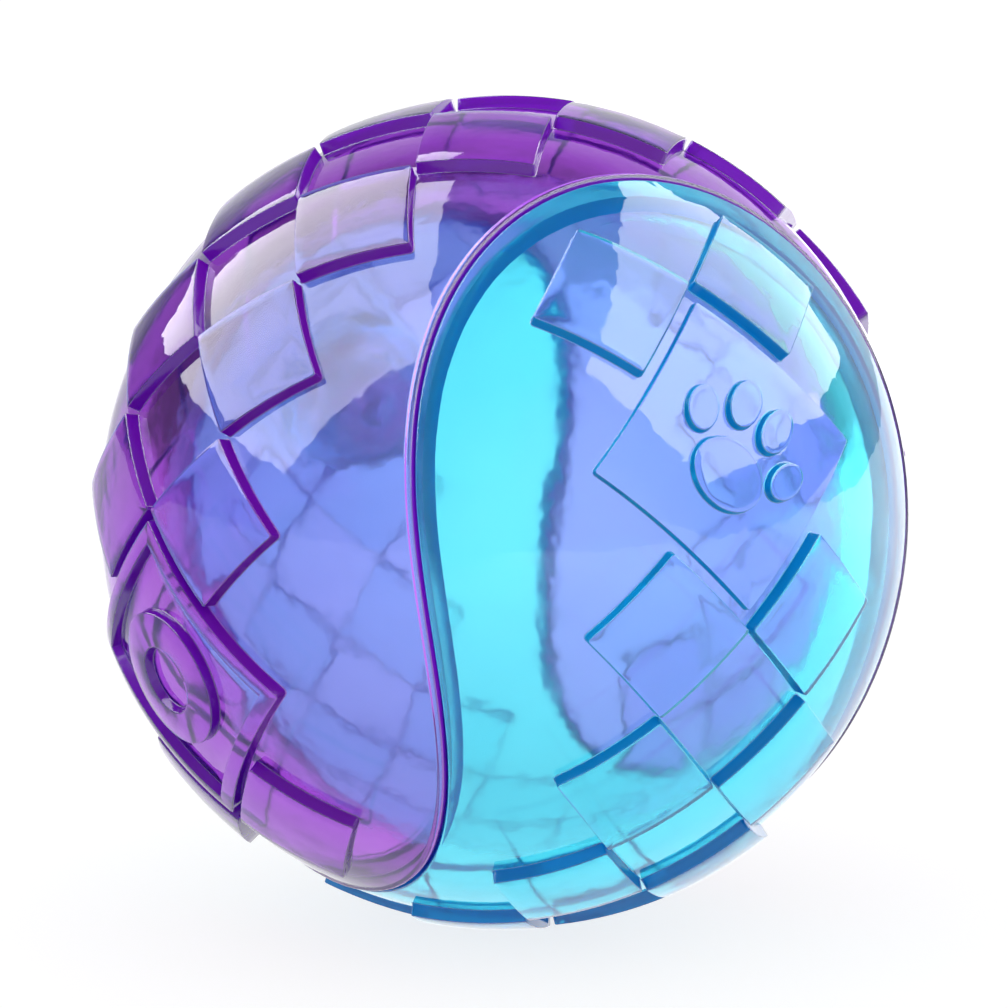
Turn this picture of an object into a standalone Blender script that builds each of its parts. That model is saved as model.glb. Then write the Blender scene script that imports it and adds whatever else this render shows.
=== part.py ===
"""Squeaky dog ball: two soft moulded halves that meet along a tennis-ball seam, and a push-in squeaker.

The ball is modelled upright about its own axis: the narrow waist of the purple half is on top, that of the
blue half is below, and each half sends two broad lobes round the ball. The blue half is the purple one turned
over, with the squeaker behind its boss. Metres, +Z up, origin at the centre.
"""
import math

import bmesh
import bpy
from mathutils import Matrix, Vector

MM = 0.001

# Ball
BALL_RADIUS = 31.5 * MM
WALL = 5.0 * MM
LIE_TURN = math.radians(-145.5)
FIT_GAP = 0.3 * MM

# Seam: a closed wave round the ball, with the weights of its third harmonic and of its rise
SEAM_SWELL = 0.4325
SEAM_RISE = 1.06
SHELL_COLS = 48
SHELL_ROWS = 12

# Checker lattice of each half: cells stand on their corners along the half's mid-line
PITCH = math.radians(23.8)
CELL = BALL_RADIUS * PITCH / math.sqrt(2)
TILE_HEIGHT = 1.0 * MM
TILE_TOP_SIDE = 8.45 * MM
TILE_FOOT_SIDE = 8.9 * MM
ROOT_DEPTH = 0.6 * MM
PAIRS_EACH_WAY = 4

# Square panels on the lobes, one lattice place and a half past the last pair: a frame and a low plate
PANEL_PLACE = 4.5
TIP_PAIR = 6
PANEL_ANGLE = PANEL_PLACE * PITCH
FRAME_SIDE = 17.3 * MM
FRAME_FOOT_SIDE = 17.8 * MM
FRAME_RIM = 1.3 * MM
FRAME_FLOOR = 0.15 * MM
PLATE_SIDE = 15.9 * MM
PLATE_FOOT_SIDE = 16.3 * MM
PLATE_HEIGHT = 0.55 * MM

# Round boss inside the frame
BOSS_RADIUS = 5.3 * MM
BOSS_TOP = 1.0 * MM
DIMPLE_RADIUS = 2.6 * MM
DIMPLE_DEPTH = 1.1 * MM
VENT_RADIUS = 1.0 * MM
ROUND_SIDES = 32

# Squeaker, along its own axis: z is 0 on the inside of the wall and grows outwards
COLLAR_RADIUS = 6.6 * MM
COLLAR_LENGTH = 4.0 * MM
SOCKET_RADIUS = 5.0 * MM
SOCKET_INTO_WALL = 1.0 * MM
HOUSING_RADIUS = SOCKET_RADIUS - FIT_GAP
HOUSING_WALL = 1.0 * MM
HOUSING_TOP = SOCKET_INTO_WALL - FIT_GAP
HOUSING_BOTTOM = -8.3 * MM
HOUSING_END_WALL = 0.8 * MM
HOUSING_AIR_HOLE = 1.6 * MM
FLANGE_RADIUS = 6.3 * MM
FLANGE_THICKNESS = 1.0 * MM
INSERT_RADIUS = HOUSING_RADIUS - HOUSING_WALL - FIT_GAP
INSERT_BOTTOM = HOUSING_BOTTOM + HOUSING_END_WALL + FIT_GAP
INSERT_TOP = -0.2 * MM
CLAMP_TOP = -4.9 * MM
CHANNEL_WIDTH = 2.2 * MM
CHANNEL_DEPTH = 1.2 * MM
REED_WIDTH = 3.0 * MM
REED_THICKNESS = 0.25 * MM
REED_TOP = -1.2 * MM
SQUEAKER_SIDES = 24

PURPLE = (0.21, 0.01, 0.42, 1.0)
BLUE = (0.06, 0.62, 0.9, 1.0)
CLEAR = (0.86, 0.9, 0.9, 1.0)
REED_WHITE = (0.92, 0.92, 0.92, 1.0)


def clear_scene():
    for item in list(bpy.data.objects):
        bpy.data.objects.remove(item, do_unlink=True)


def new_collection(name):
    collection = bpy.data.collections.new(name)
    bpy.context.scene.collection.children.link(collection)
    return collection


def plastic(name, colour, roughness):
    material = bpy.data.materials.new(name)
    material.use_nodes = True
    shader = material.node_tree.nodes["Principled BSDF"]
    shader.inputs["Base Color"].default_value = colour
    shader.inputs["Roughness"].default_value = roughness
    shader.inputs["Metallic"].default_value = 0.0
    return material


def object_from(bm, name, collection, parent, material=None):
    """Close a bmesh into a named object under a parent."""
    bmesh.ops.remove_doubles(bm, verts=bm.verts, dist=0.001 * MM)
    bmesh.ops.recalc_face_normals(bm, faces=bm.faces)
    mesh = bpy.data.meshes.new(name)
    bm.to_mesh(mesh)
    bm.free()
    piece = bpy.data.objects.new(name, mesh)
    piece.parent = parent
    collection.objects.link(piece)
    if material:
        mesh.materials.append(material)
    else:
        piece.hide_render = True
        piece.display_type = "WIRE"
    return piece


def empty(name, collection, parent=None, place=Matrix()):
    frame = bpy.data.objects.new(name, None)
    frame.parent = parent
    frame.matrix_local = place
    collection.objects.link(frame)
    return frame


def boolean(piece, operation, operand):
    cut = piece.modifiers.new(operand.name, "BOOLEAN")
    cut.operation = operation
    cut.solver = "EXACT"
    cut.object = operand


def shade(piece):
    piece.data.shade_smooth()
    piece.data.set_sharp_from_angle(angle=math.radians(30))


def add_block(bm, cols, rows, place):
    """Add a closed block: a grid and its extruded copy, each point set by place(x, y, outer)."""
    foot = bmesh.ops.create_grid(bm, x_segments=cols, y_segments=rows, size=0.5)["verts"]
    faces = list({face for vert in foot for face in vert.link_faces})
    raised = bmesh.ops.extrude_face_region(bm, geom=faces)["geom"]
    head = [item for item in raised if isinstance(item, bmesh.types.BMVert)]
    for vert in foot:
        vert.co = place(vert.co.x, vert.co.y, False)
    for vert in head:
        vert.co = place(vert.co.x, vert.co.y, True)


def seam_point(turn):
    """Unit vector on the seam. The purple lobes' tips are at turns of -45 and 135 degrees."""
    x = math.cos(turn) + SEAM_SWELL * math.cos(3 * turn)
    y = math.sin(turn) - SEAM_SWELL * math.sin(3 * turn)
    z = SEAM_RISE * math.sin(2 * turn)
    return Matrix.Rotation(math.radians(45), 3, "Z") @ Vector((x, y, z)).normalized()


def half_edge(turn):
    """Seam point drawn back towards the half's inside, which leaves half the gap between the halves."""
    step = math.radians(0.1)
    point = seam_point(turn)
    along = seam_point(turn + step) - seam_point(turn - step)
    inwards = along.cross(point).normalized()
    if inwards.dot(Vector((0, point.y, 0))) > 0:
        inwards = -inwards
    return (point + inwards * (FIT_GAP / 2 / BALL_RADIUS)).normalized()


def shell_point(x, y, outer):
    """Point of the half shell: x runs from lobe tip to lobe tip, y across the half."""
    edge = half_edge(math.radians(45 - 180 * x))
    middle = Vector((edge.x, 0, edge.z)).normalized()
    across = 2 * y * math.asin(edge.y)
    radius = BALL_RADIUS if outer else BALL_RADIUS - WALL
    return radius * (middle * math.cos(across) + Vector((0, math.sin(across), 0)))


def lattice_point(p, q, radius):
    """Point over lattice place p, q: (0, 0) is the waist's centre and p == q is the mid-line."""
    along = (p + q) * PITCH / 2
    across = (p - q) * PITCH / 2
    flat = math.cos(across)
    return radius * Vector((math.sin(along) * flat, math.sin(across), math.cos(along) * flat))


def add_lattice_block(bm, p, q, head_side, foot_side, head, foot, faces):
    """Block square on the lattice, from a foot level to a head level over the ball's surface."""
    def place(x, y, outer):
        side = (head_side if outer else foot_side) / CELL
        return lattice_point(p + side * x, q + side * y, BALL_RADIUS + (head if outer else foot))
    add_block(bm, faces, faces, place)


def tile_places():
    """Lattice places of the tiles: pairs along the mid-line, and a pair beyond each panel."""
    rows = list(range(-PAIRS_EACH_WAY, PAIRS_EACH_WAY)) + [TIP_PAIR - 1, -TIP_PAIR]
    return [place for row in rows for place in ((row + 1, row), (row, row + 1))]


def raised_squares(colour_name, collection, parent):
    """Tiles of a half, the square of its frame on one lobe and the low plate on the other."""
    bm = bmesh.new()
    for p, q in tile_places():
        add_lattice_block(bm, p, q, TILE_TOP_SIDE, TILE_FOOT_SIDE, TILE_HEIGHT, -ROOT_DEPTH, 2)
    frame, plate = PANEL_PLACE, -PANEL_PLACE
    add_lattice_block(bm, frame, frame, FRAME_SIDE, FRAME_FOOT_SIDE, TILE_HEIGHT, -ROOT_DEPTH, 4)
    add_lattice_block(bm, plate, plate, PLATE_SIDE, PLATE_FOOT_SIDE, PLATE_HEIGHT, -ROOT_DEPTH, 4)
    return object_from(bm, colour_name + "_tiles", collection, parent)


def frame_floor(colour_name, collection, parent):
    bm = bmesh.new()
    side = FRAME_SIDE - 2 * FRAME_RIM
    add_lattice_block(bm, PANEL_PLACE, PANEL_PLACE, side, side, 2 * TILE_HEIGHT, FRAME_FLOOR, 4)
    return object_from(bm, colour_name + "_frame_floor", collection, parent)


def rod(name, radius, bottom, top, collection, parent):
    """Round rod on the axis of the framed lobe, between two distances from the ball's centre."""
    bm = bmesh.new()
    middle = Matrix.Translation((0, 0, (bottom + top) / 2))
    bmesh.ops.create_cone(bm, cap_ends=True, segments=ROUND_SIDES, radius1=radius, radius2=radius,
                          depth=top - bottom, matrix=Matrix.Rotation(PANEL_ANGLE, 4, "Y") @ middle)
    return object_from(bm, name, collection, parent)


def make_half(colour_name, colour, parts, cutters, parent):
    """Both halves come from one mould: a shell with tiles, a frame with a dimpled boss, and a plate."""
    name = colour_name + "_half"
    bm = bmesh.new()
    add_block(bm, SHELL_COLS, SHELL_ROWS, shell_point)
    half = object_from(bm, name, parts, parent, plastic(name, colour, 0.12))
    shade(half)
    boss_top = BALL_RADIUS + BOSS_TOP
    boolean(half, "UNION", raised_squares(colour_name, cutters, parent))
    boolean(half, "DIFFERENCE", frame_floor(colour_name, cutters, parent))
    boolean(half, "UNION", rod(colour_name + "_boss", BOSS_RADIUS, BALL_RADIUS - ROOT_DEPTH, boss_top,
                               cutters, parent))
    boolean(half, "DIFFERENCE", rod(colour_name + "_dimple", DIMPLE_RADIUS, boss_top - DIMPLE_DEPTH,
                                    boss_top + TILE_HEIGHT, cutters, parent))
    return half


def add_squeaker_seat(half, cutters, parent):
    """Collar behind the boss, with the socket that grips the squeaker and a vent through the wall."""
    inside = BALL_RADIUS - WALL
    boolean(half, "UNION", rod("squeaker_collar", COLLAR_RADIUS, inside - COLLAR_LENGTH, inside + ROOT_DEPTH,
                               cutters, parent))
    boolean(half, "DIFFERENCE", rod("squeaker_socket", SOCKET_RADIUS, inside - 2 * COLLAR_LENGTH,
                                    inside + SOCKET_INTO_WALL, cutters, parent))
    boolean(half, "DIFFERENCE", rod("squeaker_vent", VENT_RADIUS, inside - ROOT_DEPTH,
                                    BALL_RADIUS + 2 * TILE_HEIGHT, cutters, parent))


def squeaker_housing(collection, parent):
    """Flanged tube with a holed end wall, turned from its half section."""
    bore = HOUSING_RADIUS - HOUSING_WALL
    shoulder = -COLLAR_LENGTH - FIT_GAP
    section = [(HOUSING_RADIUS, HOUSING_TOP), (HOUSING_RADIUS, shoulder), (FLANGE_RADIUS, shoulder),
               (FLANGE_RADIUS, shoulder - FLANGE_THICKNESS), (HOUSING_RADIUS, shoulder - FLANGE_THICKNESS),
               (HOUSING_RADIUS, HOUSING_BOTTOM), (HOUSING_AIR_HOLE, HOUSING_BOTTOM),
               (HOUSING_AIR_HOLE, HOUSING_BOTTOM + HOUSING_END_WALL),
               (bore, HOUSING_BOTTOM + HOUSING_END_WALL), (bore, HOUSING_TOP)]
    mesh = bpy.data.meshes.new("squeaker_housing")
    edges = [(i, (i + 1) % len(section)) for i in range(len(section))]
    mesh.from_pydata([(radius, 0, z) for radius, z in section], edges, [])
    mesh.materials.append(plastic("squeaker_housing", CLEAR, 0.35))
    piece = bpy.data.objects.new("squeaker_housing", mesh)
    piece.parent = parent
    collection.objects.link(piece)
    turn = piece.modifiers.new("turn", "SCREW")
    turn.steps = SQUEAKER_SIDES
    turn.render_steps = SQUEAKER_SIDES
    turn.use_merge_vertices = True
    turn.merge_threshold = 0.01 * MM


def add_box(bm, low, high):
    size = Vector(high) - Vector(low)
    place = Matrix.Translation((Vector(low) + Vector(high)) / 2) @ Matrix.Diagonal((*size, 1))
    bmesh.ops.create_cube(bm, size=1, matrix=place)


def box_cutter(name, low, high, collection, parent):
    bm = bmesh.new()
    add_box(bm, low, high)
    return object_from(bm, name, collection, parent)


def half_round(name, bottom, top, colour, collection, parent):
    bm = bmesh.new()
    bmesh.ops.create_cone(bm, cap_ends=True, segments=SQUEAKER_SIDES, radius1=INSERT_RADIUS,
                          radius2=INSERT_RADIUS, depth=top - bottom,
                          matrix=Matrix.Translation((0, 0, (bottom + top) / 2)))
    return object_from(bm, name, collection, parent, plastic(name, colour, 0.4))


def make_squeaker(parts, cutters, over):
    inside = BALL_RADIUS - WALL
    lean = Matrix.Rotation(PANEL_ANGLE, 4, "Y")
    axis = empty("squeaker_axis", parts, over, lean @ Matrix.Translation((0, 0, inside)))
    squeaker_housing(parts, axis)

    wide = 2 * INSERT_RADIUS
    reed_side = REED_THICKNESS / 2 + FIT_GAP
    channel_floor = -reed_side - CHANNEL_DEPTH
    seat = half_round("squeaker_reed_seat", INSERT_BOTTOM, INSERT_TOP, CLEAR, parts, axis)
    boolean(seat, "DIFFERENCE", box_cutter("seat_side", (-wide, -reed_side, 2 * HOUSING_BOTTOM),
                                           (wide, wide, wide), cutters, axis))
    boolean(seat, "DIFFERENCE", box_cutter("air_channel", (-CHANNEL_WIDTH / 2, channel_floor, CLAMP_TOP),
                                           (CHANNEL_WIDTH / 2, wide, wide), cutters, axis))
    clamp = half_round("squeaker_clamp", INSERT_BOTTOM, CLAMP_TOP, CLEAR, parts, axis)
    boolean(clamp, "DIFFERENCE", box_cutter("clamp_side", (-wide, -wide, 2 * HOUSING_BOTTOM),
                                            (wide, reed_side, wide), cutters, axis))

    hinge = empty("reed_hinge", parts, axis, Matrix.Translation((0, 0, CLAMP_TOP)))
    bm = bmesh.new()
    add_box(bm, (-REED_WIDTH / 2, -REED_THICKNESS / 2, INSERT_BOTTOM - CLAMP_TOP),
            (REED_WIDTH / 2, REED_THICKNESS / 2, REED_TOP - CLAMP_TOP))
    object_from(bm, "squeaker_reed", parts, hinge, plastic("squeaker_reed", REED_WHITE, 0.3))


def main():
    clear_scene()
    parts = new_collection("squeaky_dog_ball")
    cutters = new_collection("cutters")
    ball = empty("ball", parts, None, Matrix.Rotation(LIE_TURN, 4, "Z"))
    make_half("purple", PURPLE, parts, cutters, ball)
    over = empty("blue_over", parts, ball, Matrix.Rotation(math.pi, 4, Vector((1, -1, 0))))
    blue = make_half("blue", BLUE, parts, cutters, over)
    add_squeaker_seat(blue, cutters, over)
    make_squeaker(parts, cutters, over)


main()
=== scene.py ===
"""Looks of a squeaky dog ball: two clear soft-rubber halves with raised tiles, and its squeaker.

Everything is in metres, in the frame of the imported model, with the ball's centre at the origin.
In a half's own frame the middle of its waist is on Z, and its two lobes reach past X and -X.
"""
import math

import bmesh
import bpy
from mathutils import Matrix, Vector


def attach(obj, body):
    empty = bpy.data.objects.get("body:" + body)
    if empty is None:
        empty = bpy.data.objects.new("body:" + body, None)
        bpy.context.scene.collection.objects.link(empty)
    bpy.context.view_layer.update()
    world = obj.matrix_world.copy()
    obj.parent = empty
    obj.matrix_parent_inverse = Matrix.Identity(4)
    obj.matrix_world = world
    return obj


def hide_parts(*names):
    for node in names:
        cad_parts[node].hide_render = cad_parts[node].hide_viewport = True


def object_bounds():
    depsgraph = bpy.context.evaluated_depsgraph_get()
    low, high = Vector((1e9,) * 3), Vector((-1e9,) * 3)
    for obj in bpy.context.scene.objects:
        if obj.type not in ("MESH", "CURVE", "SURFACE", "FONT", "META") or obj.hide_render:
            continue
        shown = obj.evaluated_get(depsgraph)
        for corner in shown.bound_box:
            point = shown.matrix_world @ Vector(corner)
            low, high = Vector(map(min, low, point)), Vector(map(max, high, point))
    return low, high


MM = 0.001
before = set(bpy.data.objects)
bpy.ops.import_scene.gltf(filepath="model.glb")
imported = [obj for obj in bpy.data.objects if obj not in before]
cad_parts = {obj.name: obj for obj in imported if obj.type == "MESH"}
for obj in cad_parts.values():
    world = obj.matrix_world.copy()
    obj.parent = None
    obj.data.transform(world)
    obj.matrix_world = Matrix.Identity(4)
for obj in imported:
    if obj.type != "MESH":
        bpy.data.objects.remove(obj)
cad_low, cad_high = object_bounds()

# Ball and seam. LIE_TURN is how the ball lies in the photograph. HOLD is how far loops stand from
# an edge to keep it crisp under smooth shading.
BALL_RADIUS = 31.5 * MM
WALL = 5.0 * MM
INSIDE_RADIUS = BALL_RADIUS - WALL
LIE_TURN = math.radians(-145.5)
HALVES_GAP = 0.04 * MM
SEAM_SWELL = 0.4325
SEAM_RISE = 1.06
TIP_TURN = math.radians(-45)
SEAM_TURN = math.radians(45)
TANGENT_STEP = math.radians(0.1)
SEAM_STEPS = 320
SHELL_ROWS = 40
HOLD = 0.05 * MM
OUTER_RIM = (2.2 * MM, 1.4 * MM)
INNER_RIM = 1.0 * MM

# Seam edges. The lip's section is given as inset from the seam and depth, in millimetres.
PURPLE_LIP = [(0.8, 0), (0.72, -0.03), (0.62, -0.11), (0.5, -0.14), (0.35, -0.09), (0.2, 0.06),
              (0.08, 0.28), (0.01, 0.55), (0, 0.75)]
PURPLE_BEVEL = (0.2 * MM, 0.3 * MM)
BLUE_EDGE_ROUND = 0.15 * MM
BLUE_EDGE_ARC = (90, 180)
BLUE_BEVEL = (0.8 * MM, 1.4 * MM)

# Checker lattice of each half: its cells stand on their corners along the half's mid-line
PITCH = math.radians(23.8)
CELL = BALL_RADIUS * PITCH / math.sqrt(2)
TILE_SIDE = 9.05 * MM
TILE_CORNER = 0.25 * MM
TILE_HEIGHT = 1.0 * MM
TILES_IN_CHAIN = 12
PANEL_TURN = 4.5 * PITCH
SAME_TURN = 0.01
PANEL_SIDE_STEPS = 14

# Frame with its boss, and plate
FRAME_SIDE = 17.4 * MM
FRAME_CORNER = 0.3 * MM
FRAME_RIM = 1.3 * MM
FRAME_FLOOR = 0.2 * MM
BOSS_RADIUS = 5.3 * MM
BOSS_TOP = 1.0 * MM
DIMPLE_RADIUS = 2.6 * MM
DIMPLE_FLOOR = 0.3 * MM
PLATE_SIDE = 16.6 * MM
PLATE_CORNER = 0.25 * MM
PLATE_HEIGHT = 0.55 * MM

# Squeaker's collar and vent
VENT_RADIUS = 1.0 * MM
COLLAR_RADIUS = 6.6 * MM
COLLAR_LENGTH = 4.0 * MM
SOCKET_RADIUS = 5.0 * MM
SOCKET_INTO_WALL = 1.0 * MM

# Raised paw print: middle, half width, half height and lean of each pad, in millimetres and radians
PAW_HEIGHT = 0.6 * MM
PAW_PADS = [(0.0, -2.2, 3.1, 2.5, 0), (-4.3, 0.6, 1.25, 1.75, 0.35), (-1.6, 3.1, 1.3, 1.95, 0.1),
            (1.6, 3.1, 1.3, 1.95, -0.1), (4.3, 0.6, 1.25, 1.75, -0.35)]

# Moulded edges
DRAFT = 0.1 * MM
TOP_ROUND = 0.12 * MM
FOOT_ROUND = 0.12 * MM
FOOT_ARC, TOP_ARC = (255, 190), (10, 90)
LEAST_BEND = 0.02 * MM
ROOT_DEPTH = 0.5 * MM
ARC_STEPS = 3
ROUND_STEPS = 64
CAP_RINGS = (0.8, 0.6, 0.4, 0.2)
SMOOTH_UP_TO = math.radians(38)
MERGE_DISTANCE = 0.0005 * MM

# Rubber's finish: sizes of its marks, their range in the noise, and roughness
CLOUD_SIZE = 9 * MM
CLOUD_RANGE = (0.25, 0.6)
SCUFF_SIZE = 2.5 * MM
SCUFF_RANGE = (0.45, 0.75)
RIPPLE_SIZE = 6 * MM
RIPPLE_DEPTH = 0.6 * MM
RIPPLE_OUTSIDE, RIPPLE_INSIDE = 0.12, 0.15
POLISHED, SCUFFED = 0.02, 0.09
INSIDE_DULLNESS = 0.07
GRAIN_DULLNESS = 0.08
GRAIN_COVER = 0.6
RUBBER_IOR = 1.5

# Where that finish changes: shares of the wall's depth, and cosines of a face's lean
INSIDE_STARTS, INSIDE_FULL = 0.6, 0.9
FACE_LEVEL, FACE_STEEP = 0.92, 0.65
CAVITY_EDGE = 0.2 * MM

# Clear plastic's finish
FLOW_SIZE = 2 * MM
FLOW_DULLNESS = 0.08
PLASTIC_IOR = 1.49

purple_place = Matrix.Rotation(LIE_TURN, 4, "Z")
blue_place = purple_place @ Matrix.Rotation(math.pi, 4, Vector((1, -1, 0)))


def linear(hex_colour):
    """Linear RGBA of an sRGB hex colour."""
    channels = [int(hex_colour[i:i + 2], 16) / 255 for i in (1, 3, 5)]
    return [c / 12.92 if c <= 0.04045 else ((c + 0.055) / 1.055) ** 2.4 for c in channels] + [1.0]


def add_node(tree, kind, links=(), values=(), **settings):
    """Add a node with its settings, its input values and the links into it."""
    made = tree.nodes.new(kind)
    for name, value in settings.items():
        setattr(made, name, value)
    for socket, value in dict(values).items():
        made.inputs[socket].default_value = value
    for socket, source in dict(links).items():
        tree.links.new(source, made.inputs[socket])
    return made


def empty_material(name):
    """New material with an empty node tree."""
    material = bpy.data.materials.new(name)
    material.use_nodes = True
    material.node_tree.nodes.clear()
    return material, material.node_tree


# Materials

def clear_rubber(name, tint, wall_colour, haze_colour, haze, absorbed, density):
    """Tinted clear thermoplastic rubber, injection moulded in a polished mould.

    The colour comes from the depth of material, so thin walls are pale and long ways through it are
    dark. The outside is glossy, with a slight ripple, dull scuffs and faint clouds. The tiles' side
    walls and the joint keep the mould's eroded grain, so they are satin and show the full colour.
    The inside is wavy and a little milky.
    """
    material, tree = empty_material(name)
    place = add_node(tree, "ShaderNodeTexCoord").outputs["Object"]
    radius = add_node(tree, "ShaderNodeVectorMath", {0: place}, operation="LENGTH").outputs["Value"]
    inner = add_node(tree, "ShaderNodeMapRange", {"Value": radius},
                     {"From Min": BALL_RADIUS - INSIDE_STARTS * WALL,
                      "From Max": BALL_RADIUS - INSIDE_FULL * WALL}).outputs[0]

    # Side walls lean away from the ball's surface. The cavity's own walls are left polished.
    outward = add_node(tree, "ShaderNodeVectorMath", {0: place}, operation="NORMALIZE").outputs[0]
    normal = add_node(tree, "ShaderNodeNewGeometry").outputs["Normal"]
    facing = add_node(tree, "ShaderNodeVectorMath", {0: outward, 1: normal},
                      operation="DOT_PRODUCT").outputs["Value"]
    level = add_node(tree, "ShaderNodeMath", {0: facing}, operation="ABSOLUTE").outputs[0]
    steep = add_node(tree, "ShaderNodeMapRange", {"Value": level},
                     {"From Min": FACE_LEVEL, "From Max": FACE_STEEP}).outputs[0]
    grain = add_node(tree, "ShaderNodeMapRange", {"Value": radius},
                     {"From Min": INSIDE_RADIUS - CAVITY_EDGE,
                      "From Max": INSIDE_RADIUS}).outputs[0]
    side = add_node(tree, "ShaderNodeMath", {0: steep, 1: grain}, operation="MULTIPLY").outputs[0]

    cloud = add_node(tree, "ShaderNodeTexNoise", {"Vector": place},
                     {"Scale": 1 / CLOUD_SIZE, "Detail": 3.0})
    stain = add_node(tree, "ShaderNodeValToRGB", {"Fac": cloud.outputs["Fac"]})
    for stop, position, shade in zip(stain.color_ramp.elements, CLOUD_RANGE, (tint, "#ffffff")):
        stop.position = position
        stop.color = linear(shade)
    bloom = add_node(tree, "ShaderNodeMix", {0: inner, 6: stain.outputs["Color"]},
                     {7: linear(haze_colour)}, data_type="RGBA").outputs[2]
    colour = add_node(tree, "ShaderNodeMix", {0: side, 6: bloom},
                      {7: linear(wall_colour)}, data_type="RGBA").outputs[2]

    scuff = add_node(tree, "ShaderNodeTexNoise", {"Vector": place},
                     {"Scale": 1 / SCUFF_SIZE, "Detail": 4.0})
    gloss = add_node(tree, "ShaderNodeMapRange", {"Value": scuff.outputs["Fac"]},
                     {"From Min": SCUFF_RANGE[0], "From Max": SCUFF_RANGE[1],
                      "To Min": POLISHED, "To Max": SCUFFED}).outputs[0]
    hazy = add_node(tree, "ShaderNodeMath", {0: inner, 2: gloss}, {1: INSIDE_DULLNESS},
                    operation="MULTIPLY_ADD").outputs[0]
    satin = add_node(tree, "ShaderNodeMath", {0: side, 2: hazy}, {1: GRAIN_DULLNESS},
                     operation="MULTIPLY_ADD").outputs[0]

    milky = add_node(tree, "ShaderNodeMapRange", {"Value": inner},
                     {"To Min": 1.0, "To Max": 1.0 - haze}).outputs[0]
    clear = add_node(tree, "ShaderNodeMath", {0: side, 2: milky}, {1: -GRAIN_COVER},
                     operation="MULTIPLY_ADD").outputs[0]

    wavy = add_node(tree, "ShaderNodeMapRange", {"Value": inner},
                    {"To Min": RIPPLE_OUTSIDE, "To Max": RIPPLE_INSIDE}).outputs[0]
    ripple = add_node(tree, "ShaderNodeTexNoise", {"Vector": place},
                      {"Scale": 1 / RIPPLE_SIZE, "Detail": 3.0})
    swell = add_node(tree, "ShaderNodeBump", {"Height": ripple.outputs["Fac"], "Strength": wavy},
                     {"Distance": RIPPLE_DEPTH}).outputs[0]
    shader = add_node(tree, "ShaderNodeBsdfPrincipled",
                      {"Base Color": colour, "Roughness": satin, "Normal": swell,
                       "Transmission Weight": clear}, {"IOR": RUBBER_IOR})
    depth = add_node(tree, "ShaderNodeVolumeAbsorption",
                     values={"Color": linear(absorbed), "Density": density})
    add_node(tree, "ShaderNodeOutputMaterial",
             {"Surface": shader.outputs[0], "Volume": depth.outputs[0]})
    return material


def clear_plastic(name, tint, roughness, cover):
    """Clear plastic, injection moulded or cut from film: nearly colourless, with faint flow marks.

    Cover is the share of it that shows. The rest lets what is behind it through.
    """
    material, tree = empty_material(name)
    place = add_node(tree, "ShaderNodeTexCoord").outputs["Object"]
    flow = add_node(tree, "ShaderNodeTexNoise", {"Vector": place},
                    {"Scale": 1 / FLOW_SIZE, "Detail": 3.0})
    shade = add_node(tree, "ShaderNodeValToRGB", {"Fac": flow.outputs["Fac"]})
    shade.color_ramp.elements[0].color = linear(tint)
    shade.color_ramp.elements[1].color = linear("#ffffff")
    dull = add_node(tree, "ShaderNodeMapRange", {"Value": flow.outputs["Fac"]},
                    {"To Min": roughness, "To Max": roughness + FLOW_DULLNESS})
    shader = add_node(tree, "ShaderNodeBsdfPrincipled",
                      {"Base Color": shade.outputs["Color"], "Roughness": dull.outputs["Result"]},
                      {"IOR": PLASTIC_IOR, "Transmission Weight": 1.0, "Alpha": cover})
    add_node(tree, "ShaderNodeOutputMaterial", {"Surface": shader.outputs[0]})
    return material


# Shapes on the ball

def seam_point(turn):
    """Unit vector on the seam, in a half's frame. The lobes' tips are at -45 and 135 degrees."""
    x = math.cos(turn) + SEAM_SWELL * math.cos(3 * turn)
    y = math.sin(turn) - SEAM_SWELL * math.sin(3 * turn)
    z = SEAM_RISE * math.sin(2 * turn)
    return Matrix.Rotation(SEAM_TURN, 3, "Z") @ Vector((x, y, z)).normalized()


def inside_seam(turn, inset):
    """Unit vector at a distance inside the seam, measured on the ball towards the half's middle."""
    point = seam_point(turn)
    along = seam_point(turn + TANGENT_STEP) - seam_point(turn - TANGENT_STEP)
    inwards = point.cross(along).normalized()
    angle = (inset + HALVES_GAP / 2) / BALL_RADIUS
    return point * math.cos(angle) + inwards * math.sin(angle)


def linked_object(name, data):
    """Object of a mesh, camera or lamp, in the scene."""
    made = bpy.data.objects.new(name, data)
    bpy.context.scene.collection.objects.link(made)
    return made


def mesh_object(name, vertices, faces, material=None):
    """Closed mesh as an object, with its doubles merged and its faces turned outwards."""
    mesh = bpy.data.meshes.new(name)
    mesh.from_pydata(vertices, [], faces)
    bm = bmesh.new()
    bm.from_mesh(mesh)
    bmesh.ops.remove_doubles(bm, verts=bm.verts, dist=MERGE_DISTANCE)
    bmesh.ops.recalc_face_normals(bm, faces=bm.faces)
    bm.to_mesh(mesh)
    bm.free()
    if material:
        mesh.materials.append(material)
    return linked_object(name, mesh)


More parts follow.
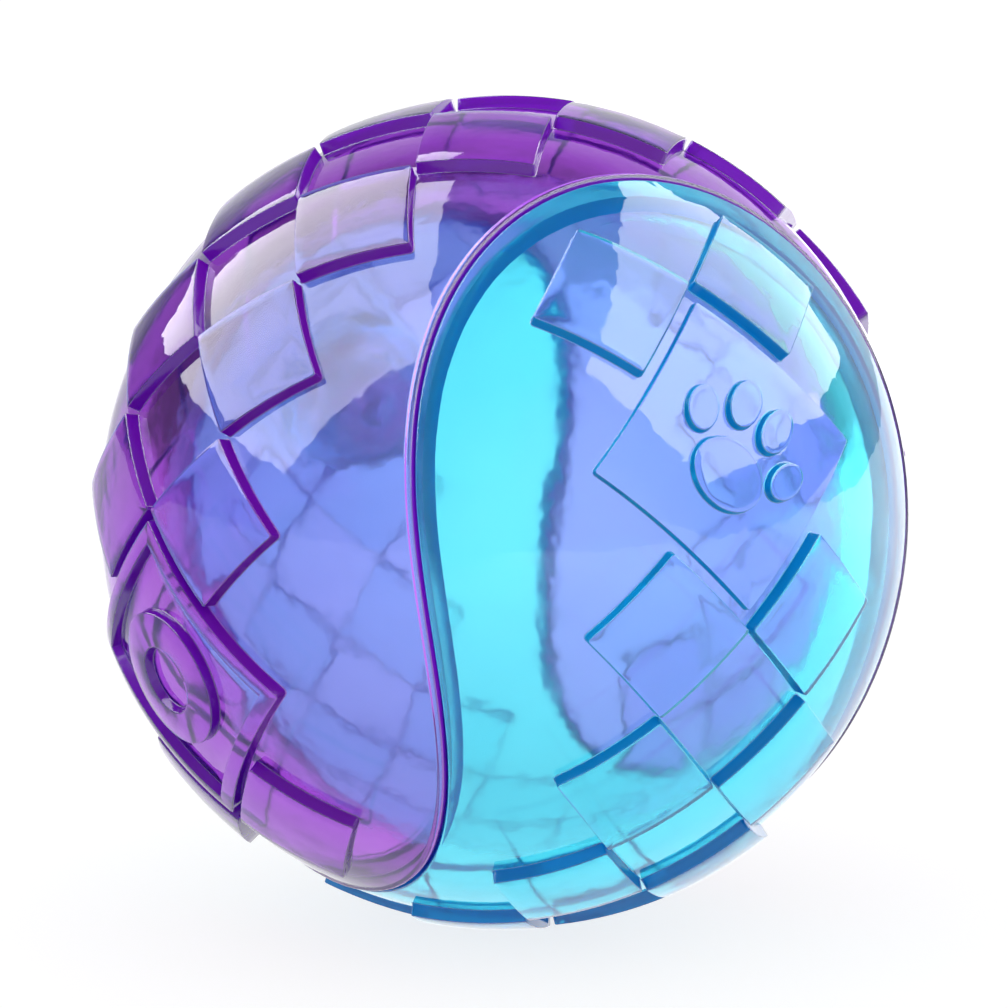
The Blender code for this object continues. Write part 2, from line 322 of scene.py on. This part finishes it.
def fill_half(edge, radius, vertices, faces):
    """Fill a half inside a loop that follows the seam, with columns of points across the half."""
    columns = []
    for step in range(SEAM_STEPS // 2 + 1):
        ends = (edge[step], edge[-step % SEAM_STEPS])
        if ends[0] == ends[1]:
            columns.append([ends[0]] * (SHELL_ROWS + 1))
            continue
        side = vertices[ends[0]].normalized()
        middle = Vector((side.x, 0, side.z)).normalized()
        reach = math.asin(side.y)
        first = len(vertices)
        for row in range(1, SHELL_ROWS):
            across = reach * (1 - 2 * row / SHELL_ROWS)
            vertices.append(radius * (middle * math.cos(across) + Vector((0, math.sin(across), 0))))
        columns.append([ends[0], *range(first, first + SHELL_ROWS - 1), ends[1]])
    for one, two in zip(columns, columns[1:]):
        for row in range(SHELL_ROWS):
            corners = (one[row], one[row + 1], two[row + 1], two[row])
            kept = [c for i, c in enumerate(corners) if c != corners[i - 1]]
            if len(kept) > 2:
                faces.append(kept)


def half_shell(name, edge, bevel, material):
    """Thick half shell, with a bevel inside its joint.

    Its outer edge is a section that ends on the joint, as inset from the seam and depth.
    """
    wide, high = bevel
    joint = [(0, edge[-1][1] + HOLD), (0, WALL - high - HOLD), (0, WALL - high), (wide, WALL),
             (wide + HOLD, WALL), (wide + INNER_RIM, WALL)]
    rim = [(inset, 0) for inset in (*OUTER_RIM, edge[0][0] + HOLD)]
    vertices, faces, loops = [], [], []
    for inset, depth in rim + edge + joint:
        first = len(vertices)
        for step in range(SEAM_STEPS):
            turn = TIP_TURN + 2 * math.pi * step / SEAM_STEPS
            vertices.append((BALL_RADIUS - depth) * inside_seam(turn, inset))
        loops.append(range(first, first + SEAM_STEPS))
    for outer, inner in zip(loops, loops[1:]):
        for step in range(SEAM_STEPS):
            after = (step + 1) % SEAM_STEPS
            faces.append((outer[step], outer[after], inner[after], inner[step]))
    fill_half(loops[0], BALL_RADIUS, vertices, faces)
    fill_half(loops[-1], INSIDE_RADIUS, vertices, faces)
    return mesh_object(name, vertices, faces, material)


def over_lattice(p, q, x, y, height):
    """Point over the ball, at x, y from the lattice place p, q. (0, 0) is the waist's middle."""
    along = (p + q + (x + y) / CELL) * PITCH / 2
    across = (p - q + (x - y) / CELL) * PITCH / 2
    flat = math.cos(across)
    return (BALL_RADIUS + height) * Vector((math.sin(along) * flat, math.sin(across),
                                            math.cos(along) * flat))


def square_outline(side, corner, per_side=8, per_corner=3):
    """Outline maker for a square with rounded corners: gives its points at an offset."""
    def at(offset):
        reach, bend = side / 2 + offset, max(corner + offset, LEAST_BEND)
        points = []
        for quarter in range(4):
            turn = Matrix.Rotation(quarter * math.pi / 2, 2)
            for step in range(per_side):
                points.append(turn @ Vector((reach, (reach - bend) * (2 * step / per_side - 1))))
            for step in range(per_corner):
                angle = math.pi / 2 * step / per_corner
                points.append(turn @ Vector((reach - bend + bend * math.cos(angle),
                                             reach - bend + bend * math.sin(angle))))
        return points
    return at


def oval_outline(middle, wide, tall, lean=0.0, points=40):
    """Outline maker for an oval about a middle point."""
    def at(offset):
        turn = Matrix.Rotation(lean, 2)
        angles = (2 * math.pi * step / points for step in range(points))
        return [Vector(middle) + turn @ Vector((math.cos(a) * (wide + offset),
                                                math.sin(a) * (tall + offset))) for a in angles]
    return at


def arc(middle, radius, first, last):
    """Points of an arc in a moulded edge's section, as offset and height."""
    angles = (math.radians(first + (last - first) * i / ARC_STEPS) for i in range(ARC_STEPS + 1))
    return [(middle[0] + radius * math.cos(a), middle[1] + radius * math.sin(a)) for a in angles]


def wall_up(low, high):
    """Section of a drafted wall between two levels, with a hollow foot and a round top edge."""
    out = DRAFT * (high - low) / TILE_HEIGHT
    return (arc((out + FOOT_ROUND, low + FOOT_ROUND), FOOT_ROUND, *FOOT_ARC)
            + arc((-TOP_ROUND, high - TOP_ROUND), TOP_ROUND, *TOP_ARC))


def wall_down(offset, high, low):
    """Section of a drafted wall from a high level's round edge down to a floor."""
    return [(offset - shift, height) for shift, height in reversed(wall_up(low, high))]


def raised_form(name, forms, place):
    """Closed forms on the ball: each one's outline, section from foot to cap, and cap's middle."""
    vertices, faces = [], []
    for outline, section, middle in forms:
        section = [(section[0][0], section[0][1] - ROOT_DEPTH)] + section
        rings = [[place(point.x, point.y, height) for point in outline(offset)]
                 for offset, height in section]
        cap, top = outline(section[-1][0]), section[-1][1]
        for share in CAP_RINGS:
            rings.append([place(*(Vector(middle).lerp(point, share)), top) for point in cap])
        count = len(cap)
        first = len(vertices)
        for ring in rings:
            vertices.extend(ring)
        for low in range(first, first + (len(rings) - 1) * count, count):
            for step in range(count):
                after = (step + 1) % count
                faces.append((low + step, low + after, low + count + after, low + count + step))
        foot_middle, cap_middle = len(vertices), len(vertices) + 1
        vertices.append(place(*middle, section[0][1]))
        vertices.append(place(*middle, top))
        last = first + (len(rings) - 1) * count
        for step in range(count):
            after = (step + 1) % count
            faces.append((first + after, first + step, foot_middle))
            faces.append((last + step, last + after, cap_middle))
    return mesh_object(name, vertices, faces)


def tiles_tree():
    """Node tree that copies a tile along a half: a chain about its Y axis, and that turned about Z.

    No tile stands at the bare turns, where the frame and the plate are.
    """
    tree = bpy.data.node_groups.new("tiles_along_a_half", "GeometryNodeTree")
    for name, kind in (("Tile", "Geometry"), ("Count", "Int"), ("First turn", "Float"),
                       ("Turn step", "Float"), ("Bare turn", "Float"), ("Rubber", "Material")):
        tree.interface.new_socket(name, in_out="INPUT", socket_type="NodeSocket" + kind)
    tree.interface.new_socket("Tiles", in_out="OUTPUT", socket_type="NodeSocketGeometry")
    given = add_node(tree, "NodeGroupInput").outputs
    places = add_node(tree, "GeometryNodeMeshLine", {"Count": given["Count"]},
                      {"Offset": (0, 0, 0)})
    order = add_node(tree, "GeometryNodeInputIndex")
    turn = add_node(tree, "ShaderNodeMath",
                    {0: order.outputs[0], 1: given["Turn step"], 2: given["First turn"]},
                    operation="MULTIPLY_ADD")
    size = add_node(tree, "ShaderNodeMath", {0: turn.outputs[0]}, operation="ABSOLUTE")
    taken = add_node(tree, "ShaderNodeMath", {0: size.outputs[0], 1: given["Bare turn"]},
                     {2: SAME_TURN}, operation="COMPARE")
    used = add_node(tree, "ShaderNodeMath", {1: taken.outputs[0]}, {0: 1.0}, operation="SUBTRACT")
    lean = add_node(tree, "ShaderNodeCombineXYZ", {"Y": turn.outputs[0]})
    chain = add_node(tree, "GeometryNodeInstanceOnPoints",
                     {"Points": places.outputs["Mesh"], "Selection": used.outputs[0],
                      "Instance": given["Tile"], "Rotation": lean.outputs[0]})
    across = add_node(tree, "GeometryNodeTransform", {"Geometry": chain.outputs[0]},
                      {"Rotation": (0, 0, math.pi)})
    both = add_node(tree, "GeometryNodeJoinGeometry", {"Geometry": chain.outputs[0]})
    tree.links.new(across.outputs[0], both.inputs[0])
    real = add_node(tree, "GeometryNodeRealizeInstances", {"Geometry": both.outputs[0]})
    finish = add_node(tree, "GeometryNodeSetMaterial",
                      {"Geometry": real.outputs[0], "Material": given["Rubber"]})
    add_node(tree, "NodeGroupOutput", {"Tiles": finish.outputs[0]})
    return tree


def plain_mesh(made):
    """Turn an object with modifiers into a plain mesh object."""
    shaped = made.evaluated_get(bpy.context.evaluated_depsgraph_get())
    made.data = bpy.data.meshes.new_from_object(shaped)
    made.modifiers.clear()
    return made


def fuse(half, operation, other):
    """Join another closed mesh to the half, or cut it away, and drop it."""
    change = half.modifiers.new(other.name, "BOOLEAN")
    change.operation, change.solver, change.object = operation, "MANIFOLD", other
    plain_mesh(half)
    bpy.data.objects.remove(other)


def rod(name, radius, bottom, top):
    """Round rod along the framed lobe's axis, between two distances from the ball's centre."""
    bm = bmesh.new()
    place = (Matrix.Rotation(PANEL_TURN, 4, "Y")
             @ Matrix.Translation((0, 0, (bottom + top) / 2)))
    bmesh.ops.create_cone(bm, cap_ends=True, segments=ROUND_STEPS, radius1=radius, radius2=radius,
                          depth=top - bottom, matrix=place)
    mesh = bpy.data.meshes.new(name)
    bm.to_mesh(mesh)
    bm.free()
    return linked_object(name, mesh)


def checker_tiles(material):
    """Two chains of tiles along a half, with the places of the frame and the plate left bare."""
    outline = square_outline(TILE_SIDE, TILE_CORNER)
    tile = raised_form("tiles", [(outline, wall_up(0, TILE_HEIGHT), (0, 0))],
                       lambda x, y, height: over_lattice(0.5, -0.5, x, y, height))
    turning = tile.modifiers.new("copies", "NODES")
    turning.node_group = tiles_tree()
    values = {"Count": TILES_IN_CHAIN, "First turn": -(TILES_IN_CHAIN - 1) / 2 * PITCH,
              "Turn step": PITCH, "Bare turn": PANEL_TURN, "Rubber": material}
    for item in turning.node_group.interface.items_tree:
        if item.name in values:
            turning[item.identifier] = values[item.name]
    return plain_mesh(tile)


def lobe_form(name, forms, turn):
    """Forms round the middle of a lobe, which is turned by an angle from the half's waist."""
    made = raised_form(name, forms, lambda x, y, height: over_lattice(0, 0, x, y, height))
    made.data.transform(Matrix.Rotation(turn, 4, "Y"))
    return made


def framed_boss():
    """Square frame, and inside it a round boss with a plain dimple."""
    outline = square_outline(FRAME_SIDE, FRAME_CORNER, PANEL_SIDE_STEPS)
    section = wall_up(0, TILE_HEIGHT) + wall_down(-FRAME_RIM, TILE_HEIGHT, FRAME_FLOOR)
    frame_form = lobe_form("square_frame", [(outline, section, (0, 0))], PANEL_TURN)
    outline = oval_outline((0, 0), BOSS_RADIUS, BOSS_RADIUS, points=ROUND_STEPS)
    section = (wall_up(FRAME_FLOOR, BOSS_TOP)
               + wall_down(DIMPLE_RADIUS - BOSS_RADIUS, BOSS_TOP, DIMPLE_FLOOR))
    boss_form = lobe_form("round_boss", [(outline, section, (0, 0))], PANEL_TURN)
    return frame_form, boss_form


def paw_plate():
    """Low square plate with a raised paw print."""
    outline = square_outline(PLATE_SIDE, PLATE_CORNER, PANEL_SIDE_STEPS)
    plate = lobe_form("square_plate", [(outline, wall_up(0, PLATE_HEIGHT), (0, 0))], -PANEL_TURN)
    section = wall_up(PLATE_HEIGHT, PLATE_HEIGHT + PAW_HEIGHT)
    forms = []
    for x, y, wide, tall, lean in PAW_PADS:
        middle = -Vector((x, y)) * MM
        forms.append((oval_outline(middle, wide * MM, tall * MM, lean), section, middle))
    return plate, lobe_form("paw_print", forms, -PANEL_TURN)


def moulded_half(name, edge, bevel, rubber):
    """Half shell with all that stands on it."""
    half = half_shell(name, edge, bevel, rubber)
    for form in (checker_tiles(rubber), *framed_boss(), *paw_plate()):
        fuse(half, "UNION", form)
    return half


def finish_half(half, place, node):
    """Shade the half, put it in its place in the ball, and let it stand for its CAD node."""
    half.data.transform(place)
    half.data.shade_smooth()
    half.data.set_sharp_from_angle(angle=SMOOTH_UP_TO)
    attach(half, "ball")
    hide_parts(node)


def make_purple_half():
    """Purple half, with a low rolled lip along the seam."""
    rubber = clear_rubber("purple_clear_rubber", tint="#faf5fd", wall_colour="#9c16e8",
                          haze_colour="#f4e8fc", haze=0.03, absorbed="#cf00ed", density=185.0)
    lip = [(inset * MM, depth * MM) for inset, depth in PURPLE_LIP]
    half = moulded_half("purple_ball_half", lip, PURPLE_BEVEL, rubber)
    finish_half(half, purple_place, "purple_half")


def make_blue_half():
    """Blue half, with a round edge along the seam, the squeaker's collar inside and its vent."""
    rubber = clear_rubber("blue_clear_rubber", tint="#f3fbfd", wall_colour="#10b4ff",
                          haze_colour="#d8f6fc", haze=0.12, absorbed="#00f2fc", density=180.0)
    round_edge = [(BLUE_EDGE_ROUND + inset, BLUE_EDGE_ROUND - drop)
                  for inset, drop in arc((0, 0), BLUE_EDGE_ROUND, *BLUE_EDGE_ARC)]
    half = moulded_half("blue_ball_half", round_edge, BLUE_BEVEL, rubber)
    fuse(half, "UNION", rod("collar", COLLAR_RADIUS, INSIDE_RADIUS - COLLAR_LENGTH,
                            INSIDE_RADIUS + ROOT_DEPTH))
    fuse(half, "DIFFERENCE", rod("socket", SOCKET_RADIUS, INSIDE_RADIUS - 2 * COLLAR_LENGTH,
                                 INSIDE_RADIUS + SOCKET_INTO_WALL))
    fuse(half, "DIFFERENCE", rod("vent", VENT_RADIUS, INSIDE_RADIUS - ROOT_DEPTH,
                                 BALL_RADIUS + 2 * BOSS_TOP))
    finish_half(half, blue_place, "blue_half")


def dress_squeaker():
    """Clear plastics for the squeaker's pieces, which keep their CAD shapes."""
    moulded = clear_plastic("clear_polypropylene", "#fafcfc", roughness=0.02, cover=0.4)
    film = clear_plastic("clear_reed_film", "#fafafa", roughness=0.05, cover=0.7)
    for name, finish in (("squeaker_housing", moulded), ("squeaker_reed_seat", moulded),
                         ("squeaker_clamp", moulded), ("squeaker_reed", film)):
        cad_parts[name].data.materials.clear()
        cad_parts[name].data.materials.append(finish)


# Studio: a white backdrop behind the ball, white paper under it, a faint fill before it and two
# softboxes. As it is seen in gloss and through the rubber, the paper glows, more so on the right.

CAMERA_ELEVATION = math.radians(10.87)
CAMERA_DISTANCE = 0.455
CAMERA_LENS = 208.2
SENSOR_WIDTH = 36
CAMERA_RISE = 0.0085
BOUNCES = {"max_bounces": 32, "glossy_bounces": 24, "transmission_bounces": 32}

# Patches: direction, angles in degrees where they are full and gone, and brightness outside and in
BACKDROP = ((0.2, 0.98, 0.0), 25, 48, 0.16, 1.0)
FILL = ((0.2, -0.98, 0.0), 20, 50, 0.0, 0.6)
PLAIN_LIGHT, CAMERA_WHITE = 0.8, 1.0

# Softboxes: direction, width, height and brightness
SOFTBOX_DISTANCE = 0.6
SOFTBOXES = {"left_softbox": ((-0.686, 0.124, 0.727), 0.92, 0.68, 5.5),
             "right_softbox": ((0.7545, 0.0525, 0.654), 1.0, 0.57, 5.0)}

# Paper, and its strength from left to right and from near to far. Near the ball its glow is dimmer:
# a painted shadow of the ball, seen in gloss and through the rubber.
FLOOR_SIZE = 6
BACKLIGHT_REACH = 0.15
BACKLIGHT_LEFT, BACKLIGHT_RIGHT = 0.95, 2.1
BACKLIGHT_DEPTH = 0.12
BACKLIGHT_NEAR, BACKLIGHT_FAR = 0.75, 1.0


def rays_in_the_ball(tree):
    """1 for rays that are seen in gloss or through clear rubber, and 0 for others."""
    path = add_node(tree, "ShaderNodeLightPath").outputs
    return add_node(tree, "ShaderNodeMath",
                    {0: path["Is Glossy Ray"], 1: path["Is Transmission Ray"]},
                    operation="MAXIMUM").outputs[0]


def round_patch(tree, towards, middle, full, gone, dim, bright):
    """Brightness of a soft round patch of the studio about a direction."""
    near = add_node(tree, "ShaderNodeVectorMath", {0: towards}, {1: middle},
                    operation="DOT_PRODUCT").outputs["Value"]
    return add_node(tree, "ShaderNodeMapRange", {"Value": near},
                    {"From Min": math.cos(math.radians(gone)),
                     "From Max": math.cos(math.radians(full)),
                     "To Min": dim, "To Max": bright}).outputs[0]


def make_camera():
    """Camera at the photograph's viewing angle."""
    camera = linked_object("camera", bpy.data.cameras.new("camera"))
    camera.data.sensor_width = SENSOR_WIDTH
    camera.data.lens = CAMERA_LENS
    camera.data.shift_y = CAMERA_RISE
    back = Vector((0, -math.cos(CAMERA_ELEVATION), math.sin(CAMERA_ELEVATION)))
    camera.location = back * CAMERA_DISTANCE
    camera.rotation_euler = back.to_track_quat("Z", "Y").to_euler()
    bpy.context.scene.camera = camera


def make_backdrop():
    """World: even light on matte surfaces, white for the camera, patches in gloss and rubber."""
    world = bpy.data.worlds.new("studio")
    bpy.context.scene.world = world
    world.use_nodes = True
    tree = world.node_tree
    tree.nodes.clear()
    towards = add_node(tree, "ShaderNodeTexCoord").outputs["Generated"]
    shown = add_node(tree, "ShaderNodeMath", {0: round_patch(tree, towards, *BACKDROP),
                                              1: round_patch(tree, towards, *FILL)},
                     operation="ADD").outputs[0]
    camera_ray = add_node(tree, "ShaderNodeLightPath").outputs["Is Camera Ray"]
    plain = add_node(tree, "ShaderNodeMapRange", {"Value": camera_ray},
                     {"To Min": PLAIN_LIGHT, "To Max": CAMERA_WHITE}).outputs[0]
    level = add_node(tree, "ShaderNodeMapRange",
                     {"Value": rays_in_the_ball(tree), "To Min": plain, "To Max": shown})
    sky = add_node(tree, "ShaderNodeBackground", {"Strength": level.outputs[0]},
                   {"Color": linear("#ffffff")})
    add_node(tree, "ShaderNodeOutputWorld", {"Surface": sky.outputs[0]})


def softbox(name, direction, wide, tall, brightness):
    """Rectangular softbox that shows in the gloss; the even light comes from the world."""
    lamp = bpy.data.lights.new(name, "AREA")
    lamp.shape, lamp.size, lamp.size_y = "RECTANGLE", wide, tall
    lamp.energy = brightness * math.pi * wide * tall
    made = linked_object(name, lamp)
    towards = Vector(direction).normalized()
    made.location = towards * SOFTBOX_DISTANCE
    made.rotation_euler = towards.to_track_quat("Z", "Y").to_euler()
    made.visible_diffuse = made.visible_transmission = False


def white_paper():
    """White background paper, matte: white for the camera, and it keeps the ball's shadow. In gloss
    and through the rubber it glows, more so on the right, and near the ball that glow carries a
    painted shadow of the ball.
    """
    paper, tree = empty_material("white_paper")
    matte = add_node(tree, "ShaderNodeBsdfDiffuse", values={"Color": linear("#9a9a9a")}).outputs[0]
    camera_ray = add_node(tree, "ShaderNodeLightPath").outputs["Is Camera Ray"]
    glow = add_node(tree, "ShaderNodeEmission", {"Strength": camera_ray},
                    {"Color": linear("#e7e7e7")}).outputs[0]
    lit = add_node(tree, "ShaderNodeAddShader", {0: matte, 1: glow}).outputs[0]
    place = add_node(tree, "ShaderNodeNewGeometry").outputs["Position"]
    along = add_node(tree, "ShaderNodeSeparateXYZ", {"Vector": place}).outputs
    across = add_node(tree, "ShaderNodeMapRange", {"Value": along["X"]},
                      {"From Min": -BACKLIGHT_REACH, "From Max": BACKLIGHT_REACH,
                       "To Min": BACKLIGHT_LEFT, "To Max": BACKLIGHT_RIGHT}).outputs[0]
    # Painted shadow of the ball: the glow is dimmer near the ball and in front of it.
    away = add_node(tree, "ShaderNodeMapRange", {"Value": along["Y"]},
                    {"From Min": 0.0, "From Max": BACKLIGHT_DEPTH,
                     "To Min": BACKLIGHT_NEAR, "To Max": BACKLIGHT_FAR}).outputs[0]
    level = add_node(tree, "ShaderNodeMath", {0: away, 1: across}, operation="MULTIPLY").outputs[0]
    white = add_node(tree, "ShaderNodeEmission", {"Strength": level}).outputs[0]
    seen = add_node(tree, "ShaderNodeMixShader", {0: rays_in_the_ball(tree), 1: lit, 2: white})
    add_node(tree, "ShaderNodeOutputMaterial", {"Surface": seen.outputs[0]})
    return paper


def make_studio():
    """Camera, lights, and the paper that the ball stands on."""
    scene = bpy.context.scene
    scene.view_settings.view_transform = "Standard"
    for limit, count in BOUNCES.items():
        setattr(scene.cycles, limit, count)
    make_camera()
    make_backdrop()
    for name, box in SOFTBOXES.items():
        softbox(name, *box)
    bpy.ops.mesh.primitive_plane_add(size=FLOOR_SIZE, location=(0, 0, cad_low.z))
    floor = bpy.context.object
    floor.name = "floor"
    floor.data.materials.append(white_paper())


make_purple_half()
make_blue_half()
dress_squeaker()
make_studio()
